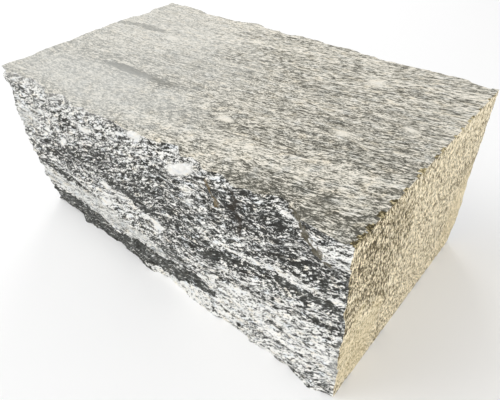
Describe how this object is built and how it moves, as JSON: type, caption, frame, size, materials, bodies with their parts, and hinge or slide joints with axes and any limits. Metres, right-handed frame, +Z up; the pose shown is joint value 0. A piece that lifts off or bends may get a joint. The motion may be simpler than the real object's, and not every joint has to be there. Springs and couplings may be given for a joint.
{
  "type": "gneiss wall stone",
  "caption": "Block of folded, banded gneiss for stone walling: flat sawn beds and one sawn end, with rough split front, back and far end.",
  "frame": {"origin": "middle of the bottom bed, under the middle of the overall box", "axes": "+X along the block towards the sawn end, -Y out of the split front, +Z up out of the top bed"},
  "size_m": [0.355, 0.211, 0.15],
  "materials": {
    "gneiss": "matte"
  },
  "bodies": {
    "root": {"gneiss_block": "gneiss"}
  },
  "joints": []
}
